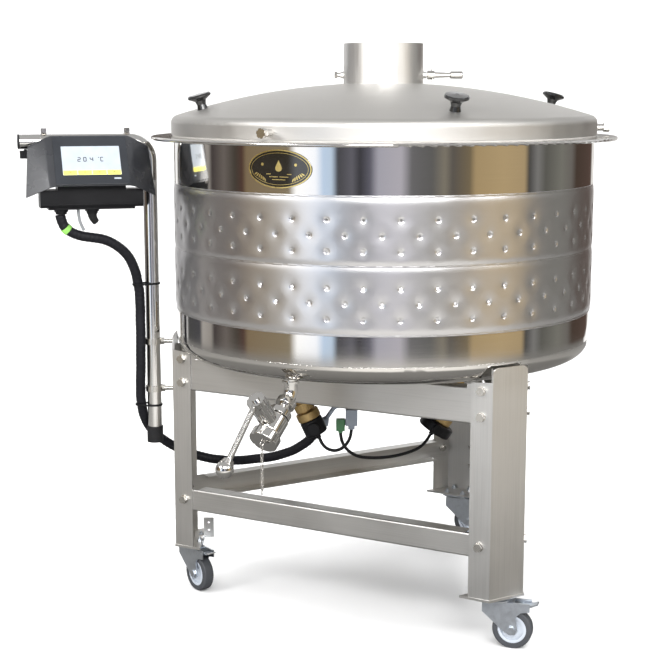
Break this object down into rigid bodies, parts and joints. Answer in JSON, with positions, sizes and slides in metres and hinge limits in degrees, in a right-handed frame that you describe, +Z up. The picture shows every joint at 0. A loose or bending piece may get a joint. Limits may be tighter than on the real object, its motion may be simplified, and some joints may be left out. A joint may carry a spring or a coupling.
{
  "type": "electric brewing kettle",
  "caption": "Large jacketed brewing kettle with a domed lid and flue, drain valve, pumps and a tilting control box, on a three-legged wheeled stand.",
  "frame": {"origin": "the floor under the middle of the overall box, wheels on the floor", "axes": "+Z up, -Y towards the user who stands at the drain valve, +X to the user's right; the control box is on the -X side"},
  "size_m": [1.579, 1.3138, 1.494],
  "materials": {
    "kettle_steel": "polished stainless sheet",
    "jacket_steel": "satin dimpled stainless sheet",
    "lid_steel": "fine brushed stainless",
    "bright_steel": "polished stainless",
    "frame_steel": "brushed folded stainless",
    "zinc": "zinc plated",
    "fastener": "bright zinc",
    "tyre_rubber": "dark grey rubber",
    "wheel_grey": "light grey moulded",
    "black_plastic": "black moulded",
    "black_rubber": "black",
    "loom_sleeve": "braided black sleeve",
    "cable_black": "black",
    "cable_grey": "grey",
    "badge": "black enamel with a gold rim",
    "pump_brass": "cast brass",
    "pump_black": "black moulded",
    "grey_plastic": "grey moulded",
    "green_plastic": "green moulded",
    "hood_steel": "satin dark grey",
    "display": "flush touch panel",
    "seal": "silicone",
    "inner_steel": "satin stainless"
  },
  "bodies": {
    "frame": {"kettle_shell": "kettle_steel", "cooling_jacket": "jacket_steel", "rim_ring": "bright_steel", "maker_badge": "badge", "malt_pipe": "inner_steel", "heating_coils": "inner_steel", "hold_down_bar": "inner_steel", "temperature_probe": "inner_steel", "leg_left": "frame_steel", "leg_right_front": "frame_steel", "leg_right_rear": "frame_steel", "top_rail_front": "frame_steel", "top_rail_rear": "frame_steel", "top_rail_right": "frame_steel", "lower_rails": "frame_steel", "frame_bolts": "fastener", "caster_plates": "zinc", "drain_pipe": "bright_steel", "drain_valve_body": "bright_steel", "pump_motors": "pump_black", "pump_housings": "pump_brass", "connector_box": "grey_plastic", "signal_plug": "green_plastic", "pump_cable_left": "cable_black", "pump_cable_right": "cable_black", "loom": "loom_sleeve", "signal_lead": "cable_grey", "cable_ties": "black_plastic", "control_post": "bright_steel", "post_caps": "black_rubber", "post_standoffs": "zinc"},
    "lid": {"lid": "lid_steel", "lid_gasket": "seal", "flue": "lid_steel", "lid_knobs": "black_plastic"},
    "damper": {"damper": "bright_steel"},
    "lid_screw_1": {"lid_screw_1": "bright_steel"},
    "lid_screw_2": {"lid_screw_2": "bright_steel"},
    "lid_screw_3": {"lid_screw_3": "bright_steel"},
    "wing_nut": {"wing_nut": "bright_steel"},
    "drain_lever": {"drain_lever": "bright_steel"},
    "drain_cap": {"drain_cap": "bright_steel", "cap_chain": "bright_steel"},
    "control_box": {"arm_clamps": "fastener", "control_housing": "black_plastic", "control_hood": "hood_steel", "display_panel": "display"},
    "arm_knob": {"arm_knob": "black_plastic"},
    "caster_right_front": {"caster_fork_right_front": "zinc"},
    "wheel_right_front": {"tyre_right_front": "tyre_rubber", "wheel_hub_right_front": "wheel_grey"},
    "pedal_right_front": {"brake_pedal_right_front": "zinc"},
    "caster_right_rear": {"caster_fork_right_rear": "zinc"},
    "wheel_right_rear": {"tyre_right_rear": "tyre_rubber", "wheel_hub_right_rear": "wheel_grey"},
    "pedal_right_rear": {"brake_pedal_right_rear": "zinc"},
    "caster_left": {"caster_fork_left": "zinc"},
    "wheel_left": {"tyre_left": "tyre_rubber", "wheel_hub_left": "wheel_grey"},
    "pedal_left": {"brake_pedal_left": "zinc"}
  },
  "joints": [
    {"name": "lid_lift", "type": "slide", "parent": "frame", "child": "lid", "axis": [0, 0, 1], "range_m": [0, 0.35]},
    {"name": "damper_turn", "type": "hinge", "parent": "lid", "child": "damper", "pos_m": [0.17253, 0.03995, 1.412], "axis": [1, 0, 0], "range_deg": [0, 90]},
    {"name": "lid_screw_1_slide", "type": "slide", "parent": "lid", "child": "lid_screw_1", "axis": [-0.515, -0.8572, 0], "range_m": [0, 0.008]},
    {"name": "lid_screw_2_slide", "type": "slide", "parent": "lid", "child": "lid_screw_2", "axis": [1, 0, 0], "range_m": [0, 0.008]},
    {"name": "lid_screw_3_slide", "type": "slide", "parent": "lid", "child": "lid_screw_3", "axis": [-0.4695, 0.8829, 0], "range_m": [0, 0.008]},
    {"name": "wing_nut_turn", "type": "hinge", "parent": "frame", "child": "wing_nut", "pos_m": [0.17253, 0.03995, 1.207], "axis": [0, 0, 1], "continuous": true},
    {"name": "drain_lever_turn", "type": "hinge", "parent": "frame", "child": "drain_lever", "pos_m": [-0.11715, -0.44643, 0.57233], "axis": [-0.4061, -0.4827, 0.7759], "range_deg": [0, 82]},
    {"name": "drain_cap_pull", "type": "slide", "parent": "frame", "child": "drain_cap", "axis": [-0.4458, -0.6366, -0.6293], "range_m": [0, 0.05]},
    {"name": "box_tilt", "type": "hinge", "parent": "frame", "child": "control_box", "pos_m": [-0.61177, -0.00303, 1.24], "axis": [0.9655, 0.2605, 0], "range_deg": [-20, 10], "deforming": ["loom", "signal_lead"]},
    {"name": "arm_knob_turn", "type": "hinge", "parent": "frame", "child": "arm_knob", "pos_m": [-0.7652, -0.04857, 1.21], "axis": [0, 0, 1], "continuous": true},
    {"name": "swivel_right_front", "type": "hinge", "parent": "frame", "child": "caster_right_front", "pos_m": [0.43804, -0.4199, 0.11], "axis": [0, 0, 1], "continuous": true},
    {"name": "roll_right_front", "type": "hinge", "parent": "caster_right_front", "child": "wheel_right_front", "pos_m": [0.47798, -0.43288, 0.05], "axis": [0.309, 0.9511, 0], "continuous": true},
    {"name": "brake_right_front", "type": "hinge", "parent": "caster_right_front", "child": "pedal_right_front", "pos_m": [0.4989, -0.43968, 0.108], "axis": [0.309, 0.9511, 0], "range_deg": [0, 14]},
    {"name": "swivel_right_rear", "type": "hinge", "parent": "frame", "child": "caster_right_rear", "pos_m": [0.43804, 0.49981, 0.11], "axis": [0, 0, 1], "continuous": true},
    {"name": "roll_right_rear", "type": "hinge", "parent": "caster_right_rear", "child": "wheel_right_rear", "pos_m": [0.4761, 0.48207, 0.05], "axis": [0.4226, 0.9063, 0], "continuous": true},
    {"name": "brake_right_rear", "type": "hinge", "parent": "caster_right_rear", "child": "pedal_right_rear", "pos_m": [0.49604, 0.47277, 0.108], "axis": [0.4226, 0.9063, 0], "range_deg": [0, 14]},
    {"name": "swivel_left", "type": "hinge", "parent": "frame", "child": "caster_left", "pos_m": [-0.35846, 0.03995, 0.11], "axis": [0, 0, 1], "continuous": true},
    {"name": "roll_left", "type": "hinge", "parent": "caster_left", "child": "wheel_left", "pos_m": [-0.33319, 0.00641, 0.05], "axis": [0.7986, 0.6018, 0], "continuous": true},
    {"name": "brake_left", "type": "hinge", "parent": "caster_left", "child": "pedal_left", "pos_m": [-0.31995, -0.01116, 0.108], "axis": [0.7986, 0.6018, 0], "range_deg": [0, 14]}
  ]
}
